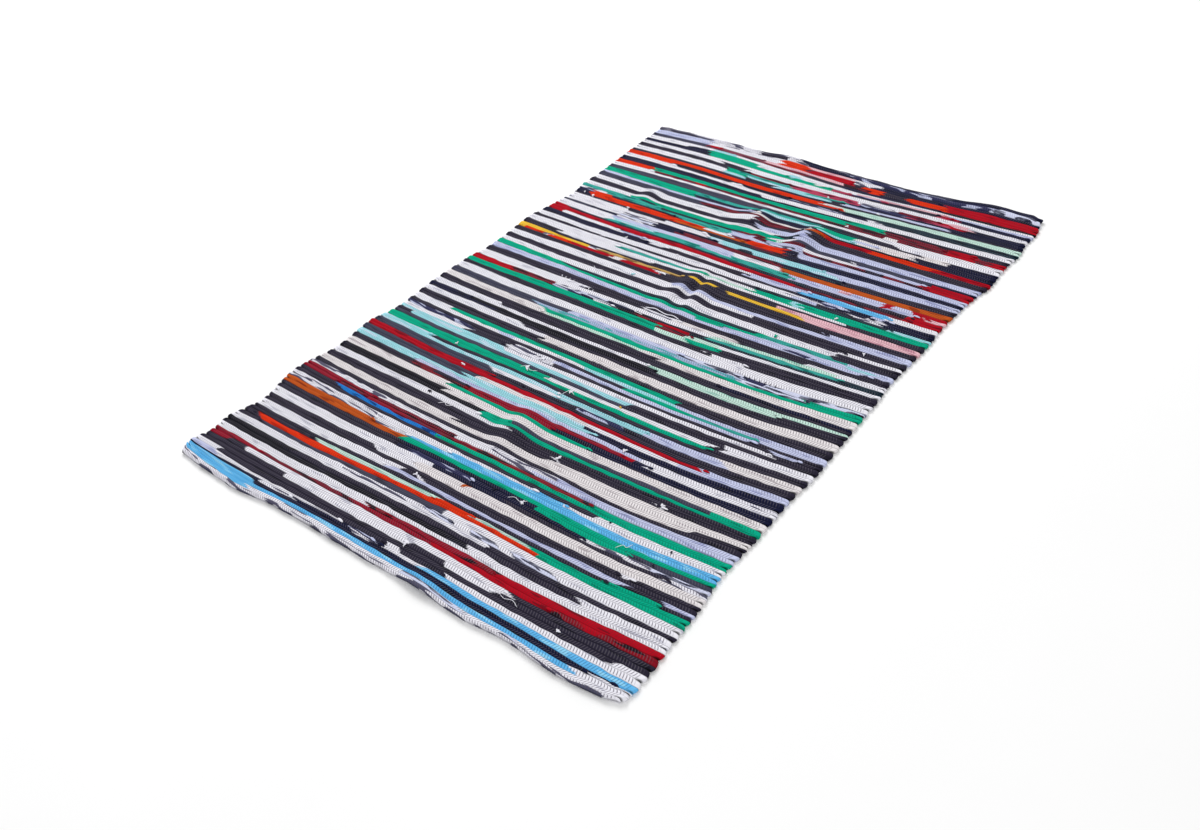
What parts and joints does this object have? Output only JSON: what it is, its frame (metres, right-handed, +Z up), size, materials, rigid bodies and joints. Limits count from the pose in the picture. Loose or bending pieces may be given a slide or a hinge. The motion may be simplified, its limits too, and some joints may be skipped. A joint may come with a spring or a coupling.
{
  "type": "striped rag rug",
  "caption": "Flat-woven cotton rag rug with uneven coloured stripes across its width, turned ends, looped selvedges and a few soft wrinkles.",
  "frame": {"origin": "on the floor, under the middle of the rug's box", "axes": "+X across the rug along its ribs, +Y along its length from the front end to the back end, +Z up from the floor"},
  "size_m": [0.924, 1.4072, 0.0198],
  "materials": {
    "rag_weave": "matt woven cotton rags in uneven stripes of white, charcoal, green, red, blue and orange"
  },
  "bodies": {
    "root": {"rug": "rag_weave"}
  },
  "joints": []
}
